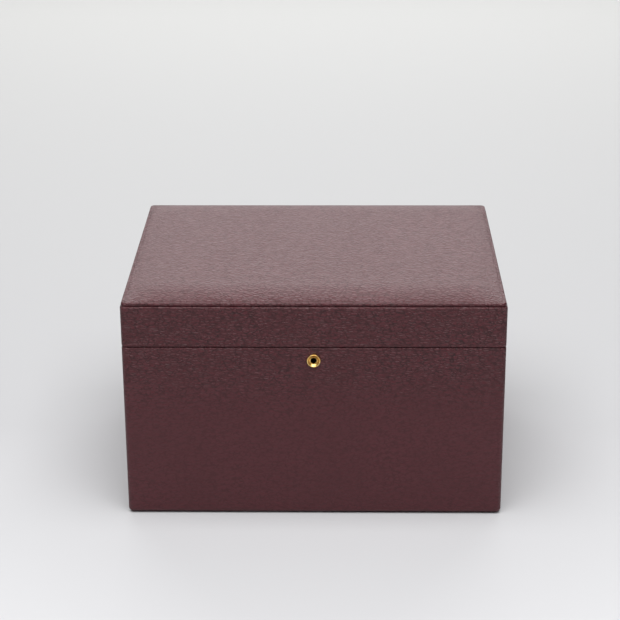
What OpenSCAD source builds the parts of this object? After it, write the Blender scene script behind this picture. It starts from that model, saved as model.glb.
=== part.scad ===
// Leather-covered jewellery case with a padded hinged lid, a round key lock and a lift-out tray.
// Millimetres. The origin is under the middle of the case, +Z is up and the front faces -Y.

/* [Case] */
// Width over the leather walls
case_w = 280; // [250:5:310]
// Depth over the leather walls
case_d = 228; // [200:4:250]
// Height of the seam between base and lid above the table
base_h = 135; // [120:1:150]
// Height of the lid from the seam to the flat rim of its top panel
lid_h = 35; // [33:0.5:42]
// Thickness of the wall boards
wall_t = 9; // [8.5:0.5:11]
// Thickness of the base's bottom board
bottom_t = 6; // [4:0.5:9]
// Thickness of the lid's top board
top_board_t = 5; // [4:0.5:6]
// Open seam between the leather of the base and of the lid
seam_gap = 0.3; // [0.2:0.1:0.6]

/* [Leather] */
// Thickness of the leather on the walls
leather_t = 1.2; // [1:0.1:1.5]
// Radius of the upright outer edges
corner_r = 3.5; // [3.5:0.5:5]
// Radius where the leather turns under the base
foot_r = 2.5; // [2:0.5:5]
// Width of the leather turned in on hidden faces
turn_in = 14; // [10:1:20]
// Thickness of the leather where it is pared and turned over an inner edge
pared_t = 0.4; // [0.3:0.1:0.5]
// Thickness of the cloth sheet under the base
cover_t = 1; // [0.6:0.1:1.6]
// Distance of the cloth sheet from the outer edge
cover_inset = 5; // [4:0.5:8]

/* [Lid panel] */
// Thickness of the top panel at its edge
panel_t = 3.5; // [3.5:0.1:4.5]
// Distance from the outer side of the lid walls in to the panel's edge
panel_inset = 0.8; // [0.2:0.1:0.8]
// Thickness of the panel's leather
panel_leather_t = 0.9; // [0.7:0.1:1.2]
// Radius of the panel's lower edge
panel_under_r = 2.2; // [1.6:0.1:2.4]
// Radius of the panel's upper edge
panel_over_r = 0.9; // [0.6:0.1:1]
// Width of the flat rim outside the crease
rim_w = 2.2; // [2:0.1:4]
// Height of the padded crown above the rim
crown_h = 3.5; // [2:0.5:5]
// Distance over which the crown rises
crown_run = 28; // [20:1:36]

/* [Linings] */
// Thickness of a suede-covered lining card
lining_t = 1.5; // [1:0.1:2]
// Glue gap behind a lining card
glue_gap = 0.8; // [0.7:0.1:1.2]
// Height of the base lining above the seam
lip_h = 4; // [2:0.5:5]
// Thickness of the padded floor of the well
floor_pad_t = 2.5; // [1.5:0.5:4]
// Thickness of a suede-covered well divider
well_divider_t = 5; // [3:0.5:6]
// Height of the well dividers
well_divider_h = 60; // [40:1:65]
// Distance of the well's long divider behind the middle
well_split_y = 15; // [0:1:25]

/* [Mirror] */
// Thickness of the mirror's backing card
backing_t = 2; // [1:0.5:2.5]
// Thickness of the mirror glass
glass_t = 2; // [1.5:0.5:2.5]
// Thickness of the padded frame round the mirror
frame_t = 4; // [3:0.5:4.5]
// Width of the padded frame round the mirror
frame_w = 24; // [16:1:32]

/* [Tray] */
// Height of the lift-out tray
tray_h = 44; // [36:1:50]
// Thickness of the tray walls
tray_wall_t = 5; // [4:0.5:6]
// Thickness of the tray floor
tray_floor_t = 3; // [2:0.5:4]
// Running gap between the tray and the lining
tray_gap = 0.6; // [0.4:0.1:1]
// Height of the tray's top edge above the seam
tray_rise = 1; // [0:0.5:2]
// Thickness of the tray dividers
divider_t = 4; // [3:0.5:5]
// Distance of the divider tops below the tray's top edge
divider_drop = 4; // [2:0.5:8]
// Thickness of the suede pad in a compartment
pad_t = 1.5; // [1:0.5:3]
// Width of the ring section
ring_w = 98; // [80:1:110]
// Distance of the divider behind the ring section from the pull tab
ring_tab_gap = 1; // [0.6:0.2:4]
// Number of ring rolls
ring_rolls_n = 7; // [5:1:9]
// Distance of the roll tops below the tray's top edge
ring_drop = 6; // [4:0.5:10]
// Width of a pull tab
tab_w = 16; // [12:1:20]
// Height of a pull tab above the tray's top edge
tab_rise = 8; // [5:0.5:9]
// Thickness of a pull tab
tab_t = 1.2; // [0.8:0.1:1.3]
// Width of a tray runner
runner_w = 8; // [5:0.5:10]
// Height of a tray runner
runner_h = 8; // [5:0.5:12]

/* [Hinges] */
// Distance of each hinge's middle from the side of the case
hinge_inset = 55; // [45:1:75]
// Length of a hinge
hinge_l = 40; // [34:1:50]
// Radius of the hinge barrel
knuckle_r = 2.2; // [2:0.1:2.4]
// Radius of the hinge pin
pin_r = 1; // [0.8:0.1:1.2]
// Length of the lid's knuckle
lid_knuckle_l = 15; // [12:1:20]
// Clearance between the barrel and the back of the case
barrel_clearance = 0.45; // [0.35:0.05:0.6]
// Radius of the stop heel on the lid's knuckle
heel_r = 4.5; // [4.2:0.1:4.7]
// Thickness of the stop heel and of the apron that stops it
heel_t = 1.2; // [1:0.1:1.3]
// Height of the apron on the back of the base
apron_h = 8; // [7:0.5:12]

/* [Lock] */
// Depth of the keyhole's axis below the seam
key_drop = 10; // [9.5:0.5:14]
// Radius of the nozzle's flange
nozzle_r = 4.9; // [4.8:0.1:6]
// Distance the nozzle stands out of the leather
nozzle_out = 1.4; // [1.2:0.1:2]
// Radius of the nozzle's tube
tube_r = 4; // [3.7:0.1:4.4]
// Radius of the turning plug
plug_r = 2.6; // [2.5:0.1:3]
// Radius of the key's recess
keyway_r = 2; // [1.8:0.1:2.1]
// Radius of the pin in the keyhole
key_pin_r = 0.75; // [0.6:0.05:0.9]
// Width of the lock's case
lock_w = 30; // [28:1:34]
// Height of the lock's case
lock_h = 24; // [22:1:28]
// Depth of the lock's case
lock_d = 6.3; // [6:0.1:6.6]
// Thickness of the lock's sheet brass
lock_sheet_t = 0.9; // [0.7:0.1:1]
// Travel of the bolt
bolt_travel = 4; // [3.5:0.5:4.5]

/* [Hidden] */
$fn = 48;

// Overshoot of a cutting solid past the face it opens, and overlap of solids that are joined
eps = 0.5;
overlap = 0.1;
// Small gaps of the linings, the mirror frame and the pull tabs
lining_gap = 0.5;
frame_gap = 0.1;
tab_foot_gap = 0.1;
// Half sizes in plan, from the leather inwards
half_w = case_w / 2;
half_d = case_d / 2;
board_x = half_w - leather_t;
board_y = half_d - leather_t;
inner_x = board_x - wall_t;
inner_y = board_y - wall_t;
lined_x = inner_x - glue_gap - lining_t;
lined_y = inner_y - glue_gap - lining_t;
tray_x = lined_x - tray_gap;
tray_y = lined_y - tray_gap;

// Heights, from the table up
board_z = cover_t + leather_t;
floor_z = board_z + bottom_t;
well_z = floor_z + floor_pad_t;
base_rim_z = base_h - seam_gap / 2;
lid_rim_z = base_h + seam_gap / 2;
base_top_z = base_rim_z - leather_t;
lid_bottom_z = lid_rim_z + leather_t;
rim_top_z = base_h + lid_h;
panel_z = rim_top_z - panel_t;
top_board_z = panel_z - leather_t;
ceiling_z = top_board_z - top_board_t;
lip_z = base_h + lip_h;
lid_lining_z = lip_z + lining_gap;
backing_z = ceiling_z - backing_t;
glass_z = backing_z - glass_t;
frame_z = glass_z - frame_t;

// Tray levels and the plan of its compartments
tray_top_z = base_h + tray_rise;
tray_z = tray_top_z - tray_h;
tray_floor_z = tray_z + tray_floor_t;
tray_in_x = tray_x - tray_wall_t;
tray_in_y = tray_y - tray_wall_t;
divider_top_z = tray_top_z - divider_drop;
main_divider_x = -tray_in_x + ring_w;
cells_x = main_divider_x + divider_t;
cell_w = (tray_in_x - cells_x - divider_t) / 2;
cell_rows = 3;
cell_d = (2 * tray_in_y - (cell_rows - 1) * divider_t) / cell_rows;
ring_divider_y = tab_w / 2 + ring_tab_gap;
ring_d = tray_in_y + ring_divider_y;
ring_pitch = ring_d / ring_rolls_n;
// Gap between a ring roll and its neighbours
roll_gap = 0.4;
// Gap between a pull tab and the ring rolls
tab_clearance = 0.6;
// Gap at the ends of the ring rolls, where the pull tab passes
roll_end_gap = tab_t + tab_clearance;
// Gap between a filler card and the turned-in leather
fill_gap = 0.5;
// Gap between the resting tray and its runners
seat_gap = 0.2;
// Distance of a tray runner's ends from the corners
runner_end = 10;

// Hinges: the axis lies behind the case at the height of the seam
hinge_x = half_w - hinge_inset;
hinge_y = half_d + knuckle_r + barrel_clearance;
leaf_edge = 0.5;
leaf_y0 = inner_y + leaf_edge;
knuckle_gap = 0.3;
pin_clearance = 0.04;
pin_head_r = 1.7;
pin_head_l = 0.8;
leaf_screw_end = 6;
leaf_screw_x = hinge_l / 2 - leaf_screw_end;
leaf_screw_y = board_y - wall_t / 2;
leaf_clearance = 0.1;

// Screws: a countersunk head on a plain shank
screw_head_r = 1.8;
screw_head_h = 0.9;
screw_r = 0.85;
screw_l = 8;
screw_hole_end = 0.2;
screw_slot_w = 0.45;
screw_slot_h = 0.35;
screw_clearance = 0.05;

// Lock: the case lies in a mortise cut from the inside of the front board
key_z = base_h - key_drop;
lock_back_y = -inner_y;
lock_front_y = lock_back_y - lock_d;
lock_bottom_z = base_top_z - lock_h;
lock_clearance = 0.1;
lock_in_front_y = lock_front_y + lock_sheet_t;
lock_in_back_y = lock_back_y - lock_sheet_t;
plate_edge = 0.5;
plate_ear = 7;
plate_w = lock_w + 2 * plate_ear;
plate_screw_x = (lock_w + plate_ear) / 2;
plate_y0 = -board_y + plate_edge;
plate_y1 = -inner_y - plate_edge;
lock_floor_z = lock_bottom_z + lock_sheet_t;
lock_in_x = lock_w / 2 - lock_sheet_t;

// Gaps between the lock's moving parts
cam_gap = 0.2;
bolt_gap = 0.15;
rib_gap = 0.2;
slot_clearance = 0.2;
nose_gap = 0.5;
bolt_end_gap = 0.6;
eye_clearance = 0.3;
link_side_gap = 0.35;
link_slot_clearance = 0.4;

// Plug: the key's recess with its notch, the pin in it and the cam behind
plug_clearance = 0.05;
plug_out = 0.2;
keyway_l = 4;
key_notch_r = 0.35;
key_pin_in = 1;
cam_t = 1.2;
cam_lip = 0.2;
cam_r = tube_r + cam_lip;
cam_front_y = lock_in_front_y + cam_gap;
cam_back_y = cam_front_y + cam_t;
cam_pin_r = 0.9;
// The cam's pin swings 45 degrees either side of the top and carries the bolt along
cam_pin_orbit = bolt_travel / 2 / sin(45);
cam_slot_w = 2 * (cam_pin_r + slot_clearance);
cam_slot_top_z = key_z + cam_pin_orbit + cam_pin_r + eye_clearance;

// Bolt and the strike's link: the bolt's nose ends just short of the link when it is drawn
bolt_t = 1.4;
bolt_h = 8;
bolt_below = 1.5;
bolt_tail = 5.5;
nose_h = 3;
link_t = 2;
link_foot = 0.8;
bolt_front_y = cam_back_y + bolt_gap;
bolt_back_y = bolt_front_y + bolt_t;
bolt_z = key_z - bolt_below;
bolt_top_z = bolt_z + bolt_h;
nose_x = lock_in_x - bolt_end_gap - bolt_travel;
nose_z = bolt_top_z - nose_h;
link_x = nose_x + nose_gap;
bolt_x1 = nose_x - bolt_travel;
bolt_x0 = -bolt_x1 - bolt_tail;
link_y0 = lock_in_front_y + link_side_gap;
link_y1 = lock_in_back_y - link_side_gap;
eye_z = nose_z - eye_clearance;
eye_top_z = bolt_top_z + eye_clearance;
link_z = eye_z - link_foot;
ledge_l = 4;
ledge_t = 1.5;
ledge_cam_gap = 0.4;
rib_t = 1.2;
rib_inset = 0.3;
rib_end_gap = 2;

// Nozzle: dish in its face and rounding of its rim
dish_floor = -0.3;
dish_ring = 0.2;
dish_rim = 0.6;
nozzle_round_r = 0.5;

// Crown of the lid: number of steps in its curve and thickness of one slice
crown_steps = 6;
slice_t = 0.02;

// Plan of a block with round upright edges
module plan(w, d, r) {
    square([w - 2 * r, d], center = true);
    square([w, d - 2 * r], center = true);
    for (x = [-1, 1], y = [-1, 1])
        translate([x * (w / 2 - r), y * (d / 2 - r)]) circle(r);
}

// Side view of a block: width w, from z0 to z1, with lower corners of radius lo and upper ones of hi
module elevation(w, z0, z1, lo, hi) {
    translate([-w / 2, z0 + lo]) square([w, z1 - z0 - lo - hi]);
    if (lo > 0) {
        translate([-w / 2 + lo, z0]) square([w - 2 * lo, lo + 0.01]);
        for (x = [-1, 1]) translate([x * (w / 2 - lo), z0 + lo]) circle(lo);
    }
    if (hi > 0) {
        translate([-w / 2 + hi, z1 - hi - 0.01]) square([w - 2 * hi, hi + 0.01]);
        for (x = [-1, 1]) translate([x * (w / 2 - hi), z1 - hi]) circle(hi);
    }
}

// Solid block with round upright edges and round lower and upper edges
module block(w, d, z0, z1, r, lo = 0, hi = 0) {
    intersection() {
        translate([0, 0, z0]) linear_extrude(z1 - z0) plan(w, d, r);
        if (lo > 0 || hi > 0) {
            translate([0, d / 2, 0]) rotate([90, 0, 0]) linear_extrude(d) elevation(w, z0, z1, lo, hi);
            translate([-w / 2, 0, 0]) rotate([90, 0, 90]) linear_extrude(w) elevation(d, z0, z1, lo, hi);
        }
    }
}

// Box between two corners
module box(from, to) {
    translate(from) cube(to - from);
}

// Pair of boxes mirrored left and right, or front and back
module both_sides(axis) {
    children();
    mirror(axis) children();
}

module round_y(r, y0, y1) {
    translate([0, y0, 0]) rotate([-90, 0, 0]) cylinder(r = r, h = y1 - y0);
}

module round_x(r, x0, x1) {
    translate([x0, 0, 0]) rotate([0, 90, 0]) cylinder(r = r, h = x1 - x0);
}

// Countersunk screw pointing down, its head flush with z = 0
module screw(length = screw_l) {
    difference() {
        union() {
            translate([0, 0, -screw_head_h]) cylinder(r1 = screw_r, r2 = screw_head_r, h = screw_head_h);
            translate([0, 0, -length]) cylinder(r = screw_r, h = length - screw_head_h + 0.01);
        }
        translate([-screw_head_r, -screw_slot_w / 2, -screw_slot_h])
            cube([2 * screw_head_r, screw_slot_w, screw_slot_h + eps]);
    }
}

// Hole for that screw
module screw_hole(length = screw_l) {
    translate([0, 0, -screw_head_h])
        cylinder(r1 = screw_r + screw_clearance, r2 = screw_head_r + screw_clearance, h = screw_head_h + 0.01);
    translate([0, 0, -length - screw_hole_end]) cylinder(r = screw_r + screw_clearance, h = length);
}

// Places of the screws of both leaves of both hinges, seen from above
module at_leaf_screws() {
    for (side = [-1, 1], end = [-1, 1])
        translate([side * hinge_x + end * leaf_screw_x, leaf_screw_y, 0]) children();
}

module at_plate_screws() {
    for (side = [-1, 1])
        translate([side * plate_screw_x, (plate_y0 + plate_y1) / 2, 0]) children();
}

// Pockets that the hinge leaves and their aprons need in the leather rims
module leaf_pockets(z0, z1) {
    for (side = [-1, 1])
        box([side * hinge_x - hinge_l / 2 - leaf_clearance, leaf_y0 - leaf_clearance, z0],
            [side * hinge_x + hinge_l / 2 + leaf_clearance, half_d + eps, z1]);
}

// Notch that the faceplate and the strike need in the leather rims
module plate_pocket(z0, z1) {
    box([-plate_w / 2 - leaf_clearance, plate_y0 - leaf_clearance, z0],
        [plate_w / 2 + leaf_clearance, -inner_y + pared_t + eps, z1]);
}

// Space that the lock takes up in the front board, its leather and its lining
module lock_space() {
    box([-lock_w / 2 - lock_clearance, lock_front_y - lock_clearance, lock_bottom_z - lock_clearance],
        [lock_w / 2 + lock_clearance, lock_back_y + eps, base_top_z + eps]);
    translate([0, 0, key_z]) round_y(tube_r + lock_clearance, -half_d - eps, lock_back_y);
}

// Carcass of the base, from which its boards are cut
module base_carcass() {
    difference() {
        block(2 * board_x, 2 * board_y, board_z, base_top_z, corner_r - leather_t, foot_r - leather_t);
        translate([0, 0, base_rim_z]) {
            at_leaf_screws() screw_hole();
            at_plate_screws() screw_hole();
        }
        lock_space();
    }
}

// Front (side -1) or back (side 1) board of a carcass: a slab over the full width
module long_board(side) {
    intersection() {
        children();
        box([-half_w, side > 0 ? inner_y : -half_d, 0], [half_w, side > 0 ? half_d : -inner_y, rim_top_z]);
    }
}

// Left (side -1) or right (side 1) board of a carcass: a slab between the long boards
module short_board(side) {
    intersection() {
        children();
        box([side > 0 ? inner_x : -half_w, -inner_y, 0],
            [side > 0 ? half_w : -inner_x, inner_y, rim_top_z]);
    }
}

module base_front_board() { color("burlywood") long_board(-1) base_carcass(); }
module base_back_board() { color("burlywood") long_board(1) base_carcass(); }
module base_left_board() { color("burlywood") short_board(-1) base_carcass(); }
module base_right_board() { color("burlywood") short_board(1) base_carcass(); }

module base_bottom_board() {
    color("burlywood") box([-inner_x, -inner_y, board_z], [inner_x, inner_y, floor_z]);
}

// Leather over the four walls, turned over the rim and under the base
module base_leather() {
    color([0.33, 0.2, 0.22]) difference() {
        block(case_w, case_d, cover_t, base_rim_z, corner_r, foot_r);
        block(2 * board_x, 2 * board_y, board_z, base_top_z, corner_r - leather_t, foot_r - leather_t);
        box([-half_w + turn_in, -half_d + turn_in, 0], [half_w - turn_in, half_d - turn_in, floor_z]);
        box([-inner_x, -inner_y, floor_z], [inner_x, inner_y, base_top_z - turn_in]);
        box([-inner_x + pared_t, -inner_y + pared_t, floor_z],
            [inner_x - pared_t, inner_y - pared_t, base_h]);
        leaf_pockets(base_top_z, base_h);
        lock_space();
        plate_pocket(base_top_z - eps, base_h);
    }
}

// Card that fills the space inside the turned-in leather, so that the cover lies flat
module base_filler_card() {
    color("tan") box([-half_w + turn_in + fill_gap, -half_d + turn_in + fill_gap, cover_t],
        [half_w - turn_in - fill_gap, half_d - turn_in - fill_gap, board_z]);
}

// Cloth sheet glued under the turned-in leather; the case stands on it
module base_underside_cover() {
    color([0.2, 0.13, 0.14])
        block(case_w - 2 * cover_inset, case_d - 2 * cover_inset, 0, cover_t, corner_r);
}

// Front and back lining cards of the base, standing proud of the rim as a lip
module base_long_linings() {
    color([0.55, 0.45, 0.4]) both_sides([0, 1, 0])
        box([-inner_x + glue_gap, lined_y, floor_z], [inner_x - glue_gap, lined_y + lining_t, lip_z]);
}

// Left and right lining cards of the base, between the long ones
module base_short_linings() {
    color([0.55, 0.45, 0.4]) both_sides([1, 0, 0])
        box([lined_x, -lined_y, floor_z], [lined_x + lining_t, lined_y, lip_z]);
}

module well_floor_pad() {
    color([0.55, 0.45, 0.4]) box([-lined_x, -lined_y, floor_z], [lined_x, lined_y, well_z]);
}

module well_long_divider() {
    color([0.55, 0.45, 0.4])
        box([-lined_x, well_split_y, well_z],
            [lined_x, well_split_y + well_divider_t, well_z + well_divider_h]);
}

module well_short_divider() {
    color([0.55, 0.45, 0.4])
        box([-well_divider_t / 2, -lined_y, well_z],
            [well_divider_t / 2, well_split_y, well_z + well_divider_h]);
}

// Ledges on the side linings that carry the tray
module tray_runners() {
    color([0.5, 0.4, 0.36]) both_sides([1, 0, 0])
        box([lined_x - runner_w, -lined_y + runner_end, tray_z - seat_gap - runner_h],
            [lined_x, lined_y - runner_end, tray_z - seat_gap]);
}

// Hinge leaf of the base: the plate on the rim, two knuckles and the apron on the back
module base_leaf(x) {
    color("goldenrod") translate([x, 0, 0]) difference() {
        union() {
            box([-hinge_l / 2, leaf_y0, base_top_z], [hinge_l / 2, half_d + heel_t, base_rim_z]);
            box([-hinge_l / 2, half_d, base_rim_z - apron_h], [hinge_l / 2, half_d + heel_t, base_rim_z]);
            for (end = [-1, 1]) {
                x0 = end > 0 ? lid_knuckle_l / 2 + knuckle_gap : -hinge_l / 2;
                x1 = end > 0 ? hinge_l / 2 : -lid_knuckle_l / 2 - knuckle_gap;
                translate([0, hinge_y, base_h]) round_x(knuckle_r, x0, x1);
                box([x0, half_d, base_top_z], [x1, hinge_y, base_rim_z]);
            }
        }
        translate([0, hinge_y, base_h]) {
            round_x(pin_r + pin_clearance / 2, -hinge_l, hinge_l);
            round_x(knuckle_r + knuckle_gap, -lid_knuckle_l / 2 - knuckle_gap,
                lid_knuckle_l / 2 + knuckle_gap);
        }
        translate([-x, 0, base_rim_z]) at_leaf_screws() screw_hole();
    }
}

// Hinge leaf of the lid: the plate in the rim, the middle knuckle and the heel that stops the lid
module lid_leaf(x) {
    color("goldenrod") translate([x, 0, 0]) difference() {
        union() {
            box([-hinge_l / 2, leaf_y0, lid_rim_z], [hinge_l / 2, half_d, lid_bottom_z]);
            translate([0, hinge_y, base_h]) round_x(knuckle_r, -lid_knuckle_l / 2, lid_knuckle_l / 2);
            box([-lid_knuckle_l / 2, half_d - eps, lid_rim_z], [lid_knuckle_l / 2, hinge_y, lid_bottom_z]);
            box([-lid_knuckle_l / 2, hinge_y, base_h - heel_t / 2],
                [lid_knuckle_l / 2, hinge_y + heel_r, base_h + heel_t / 2]);
        }
        translate([0, hinge_y, base_h]) round_x(pin_r + pin_clearance, -hinge_l, hinge_l);
        translate([-x, 0, lid_rim_z]) at_leaf_screws() mirror([0, 0, 1]) screw_hole();
    }
}

module left_hinge_base_leaf() { base_leaf(-hinge_x); }
module right_hinge_base_leaf() { base_leaf(hinge_x); }
module left_hinge_lid_leaf() { lid_leaf(-hinge_x); }
module right_hinge_lid_leaf() { lid_leaf(hinge_x); }

// Hinge pins with a small head at each end
module hinge_pins() {
    color("gold") for (side = [-1, 1]) translate([side * hinge_x, hinge_y, base_h]) {
        round_x(pin_r, -hinge_l / 2, hinge_l / 2);
        for (end = [-1, 1])
            round_x(pin_head_r, end * (hinge_l / 2 + pin_head_l / 2) - pin_head_l / 2,
                end * (hinge_l / 2 + pin_head_l / 2) + pin_head_l / 2);
    }
}

module hinge_base_screws() { color("gold") translate([0, 0, base_rim_z]) at_leaf_screws() screw(); }

module hinge_lid_screws() {
    color("gold") translate([0, 0, lid_rim_z]) at_leaf_screws() mirror([0, 0, 1]) screw();
}

// Open-topped brass box with the bore for the nozzle and ledges that guide the bolt
module lock_case() {
    color("goldenrod") difference() {
        union() {
            difference() {
                box([-lock_w / 2, lock_front_y, lock_bottom_z], [lock_w / 2, lock_in_back_y, base_top_z]);
                box([-lock_in_x, lock_in_front_y, lock_floor_z],
                    [lock_in_x, lock_back_y + eps, base_top_z + eps]);
            }
            both_sides([1, 0, 0]) translate([cam_r + ledge_cam_gap, 0, bolt_z - rib_gap - ledge_t])
                box([0, lock_in_front_y - overlap, 0], [ledge_l, bolt_back_y, ledge_t]);
        }
        translate([0, 0, key_z])
            round_y(tube_r + lock_clearance / 2, lock_front_y - eps, lock_in_front_y + eps);
    }
}

// Back plate of the lock, with two ribs that keep the bolt in its plane
module lock_cover() {
    color("goldenrod") {
        box([-lock_w / 2, lock_in_back_y, lock_bottom_z], [lock_w / 2, lock_back_y, base_top_z]);
        for (z = [bolt_z + rib_inset, bolt_top_z - rib_inset - rib_t])
            box([bolt_x0, bolt_back_y + rib_gap, z],
                [nose_x - rib_end_gap, lock_in_back_y + overlap, z + rib_t]);
    }
}

// Plate on the rim over the lock, with the slot for the strike's link
module lock_faceplate() {
    color("goldenrod") difference() {
        box([-plate_w / 2, plate_y0, base_top_z], [plate_w / 2, plate_y1, base_rim_z]);
        box([link_x - nose_gap, link_y0 - link_slot_clearance, base_top_z - eps],
            [link_x + link_t + nose_gap, link_y1 + link_slot_clearance, base_h]);
        translate([0, 0, base_rim_z]) at_plate_screws() screw_hole();
    }
}

// Nozzle: the round flange with its dished face, and the tube that holds the plug
module lock_nozzle() {
    bore_r = plug_r + plug_clearance;
    rim_r = nozzle_r - nozzle_round_r;
    tube_l = half_d + lock_in_front_y;
    color("gold") translate([0, -half_d, key_z]) rotate([90, 0, 0]) rotate_extrude() difference() {
        union() {
            translate([bore_r, -tube_l]) square([tube_r - bore_r, tube_l + overlap]);
            translate([bore_r, 0]) square([rim_r - bore_r, nozzle_out]);
            translate([rim_r - overlap, 0]) square([nozzle_round_r + overlap, nozzle_out - nozzle_round_r]);
            translate([rim_r, nozzle_out - nozzle_round_r]) circle(nozzle_round_r);
        }
        polygon([[0, dish_floor], [plug_r + dish_ring, dish_floor],
            [nozzle_r - dish_rim, nozzle_out + 0.01], [0, nozzle_out + 0.01]]);
    }
}

// Screws of the faceplate
module lock_screws() { color("gold") translate([0, 0, base_rim_z]) at_plate_screws() screw(); }

// Plug: turns in the nozzle, takes the key over its pin and carries the cam behind
module lock_plug() {
    color("goldenrod") translate([0, 0, key_z]) {
        difference() {
            round_y(plug_r, -half_d - plug_out, cam_front_y + overlap);
            round_y(keyway_r, -half_d - plug_out - eps, -half_d + keyway_l);
            translate([0, 0, keyway_r]) round_y(key_notch_r, -half_d - plug_out - eps, -half_d + keyway_l);
        }
        round_y(key_pin_r, -half_d + key_pin_in, -half_d + keyway_l + overlap);
        round_y(cam_r, cam_front_y, cam_back_y);
        rotate([0, -45, 0]) translate([0, 0, cam_pin_orbit])
            round_y(cam_pin_r, cam_back_y - overlap, bolt_back_y);
    }
}

// Sliding bolt with the cam's slot; its nose passes through the eye of the strike's link
module lock_bolt() {
    color("goldenrod") difference() {
        union() {
            box([bolt_x0, bolt_front_y, bolt_z], [bolt_x1, bolt_back_y, bolt_top_z]);
            box([bolt_x1 - overlap, bolt_front_y, nose_z], [nose_x, bolt_back_y, bolt_top_z]);
        }
        translate([-bolt_travel / 2, 0, 0])
            box([-cam_slot_w / 2, bolt_front_y - eps, bolt_z - eps],
                [cam_slot_w / 2, bolt_back_y + eps, cam_slot_top_z]);
    }
}

// Carcass of the lid, from which its boards are cut
module lid_carcass() {
    difference() {
        block(2 * board_x, 2 * board_y, lid_bottom_z, top_board_z, corner_r - leather_t);
        translate([0, 0, lid_rim_z]) {
            at_leaf_screws() mirror([0, 0, 1]) screw_hole();
            at_plate_screws() mirror([0, 0, 1]) screw_hole();
        }
    }
}

module lid_front_board() { color("burlywood") long_board(-1) lid_carcass(); }
module lid_back_board() { color("burlywood") long_board(1) lid_carcass(); }
module lid_left_board() { color("burlywood") short_board(-1) lid_carcass(); }
module lid_right_board() { color("burlywood") short_board(1) lid_carcass(); }

module lid_top_board() {
    color("burlywood") box([-inner_x, -inner_y, ceiling_z], [inner_x, inner_y, top_board_z]);
}

// Leather band round the lid, turned under the rim and over the top board
module lid_leather() {
    color([0.33, 0.2, 0.22]) difference() {
        block(case_w, case_d, lid_rim_z, panel_z, corner_r);
        block(2 * board_x, 2 * board_y, lid_bottom_z, top_board_z, corner_r - leather_t);
        box([-half_w + turn_in, -half_d + turn_in, ceiling_z],
            [half_w - turn_in, half_d - turn_in, rim_top_z]);
        box([-inner_x, -inner_y, lid_bottom_z + turn_in], [inner_x, inner_y, ceiling_z]);
        box([-inner_x + pared_t, -inner_y + pared_t, base_h],
            [inner_x - pared_t, inner_y - pared_t, ceiling_z]);
        leaf_pockets(base_h, lid_bottom_z);
        plate_pocket(base_h, lid_bottom_z + eps);
    }
}

// Card that fills the space inside the leather turned over the top board
module lid_filler_card() {
    color("tan") box([-half_w + turn_in + fill_gap, -half_d + turn_in + fill_gap, top_board_z],
        [half_w - turn_in - fill_gap, half_d - turn_in - fill_gap, panel_z]);
}

// Stiff board of the top panel
module lid_panel_board() {
    edge = panel_inset + panel_under_r + overlap;
    color("burlywood")
        block(case_w - 2 * edge, case_d - 2 * edge, panel_z, rim_top_z - panel_leather_t, corner_r - edge);
}

// Padded crown over z = 0: rises along a quarter ellipse from the crease to its flat top
module crown(inset) {
    hull() for (i = [0:crown_steps]) {
        rise = crown_h * sin(90 * i / crown_steps);
        run = panel_inset + inset + crown_run * (1 - cos(90 * i / crown_steps));
        translate([0, 0, rise]) linear_extrude(slice_t)
            plan(case_w - 2 * run, case_d - 2 * run, corner_r, $fn = 32);
    }
}

module lid_foam_pad() {
    color("ivory") translate([0, 0, rim_top_z - panel_leather_t]) crown(rim_w + panel_leather_t);
}

// Leather of the top panel: the round-edged rim and the crown over the foam
module lid_panel_leather() {
    color([0.36, 0.22, 0.24]) difference() {
        union() {
            block(case_w - 2 * panel_inset, case_d - 2 * panel_inset, panel_z, rim_top_z,
                corner_r - panel_inset, panel_under_r, panel_over_r);
            translate([0, 0, rim_top_z - slice_t]) crown(rim_w);
        }
        lid_panel_board();
        lid_foam_pad();
    }
}

// Front and back lining cards of the lid, clear of the base's lip
module lid_long_linings() {
    color([0.55, 0.45, 0.4]) both_sides([0, 1, 0])
        box([-inner_x + glue_gap, lined_y, lid_lining_z],
            [inner_x - glue_gap, lined_y + lining_t, ceiling_z]);
}

module lid_short_linings() {
    color([0.55, 0.45, 0.4]) both_sides([1, 0, 0])
        box([lined_x, -lined_y, lid_lining_z], [lined_x + lining_t, lined_y, ceiling_z]);
}

module mirror_backing() {
    color([0.5, 0.4, 0.36]) box([-lined_x, -lined_y, backing_z], [lined_x, lined_y, ceiling_z]);
}

module mirror_glass() {
    color("lightsteelblue")
        box([-lined_x + frame_w / 2, -lined_y + frame_w / 2, glass_z],
            [lined_x - frame_w / 2, lined_y - frame_w / 2, backing_z]);
}

// Four padded bars over the edges of the glass
module mirror_frame() {
    color([0.55, 0.45, 0.4]) {
        both_sides([0, 1, 0])
            box([-lined_x, lined_y - frame_w, frame_z], [lined_x, lined_y, glass_z]);
        both_sides([1, 0, 0])
            box([lined_x - frame_w, -lined_y + frame_w + frame_gap, frame_z],
                [lined_x, lined_y - frame_w - frame_gap, glass_z]);
    }
}

// Strike in the lid's front rim: a plate with the link that drops into the lock
module strike_plate() {
    color("goldenrod") difference() {
        union() {
            box([-plate_w / 2, plate_y0, lid_rim_z], [plate_w / 2, plate_y1, lid_bottom_z]);
            box([link_x, link_y0, link_z], [link_x + link_t, link_y1, lid_bottom_z]);
        }
        box([link_x - eps, bolt_front_y - eye_clearance, eye_z],
            [link_x + link_t + eps, bolt_back_y + eye_clearance, eye_top_z]);
        translate([0, 0, lid_rim_z]) at_plate_screws() mirror([0, 0, 1]) screw_hole();
    }
}

module strike_screws() {
    color("gold") translate([0, 0, lid_rim_z]) at_plate_screws() mirror([0, 0, 1]) screw();
}

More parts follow.
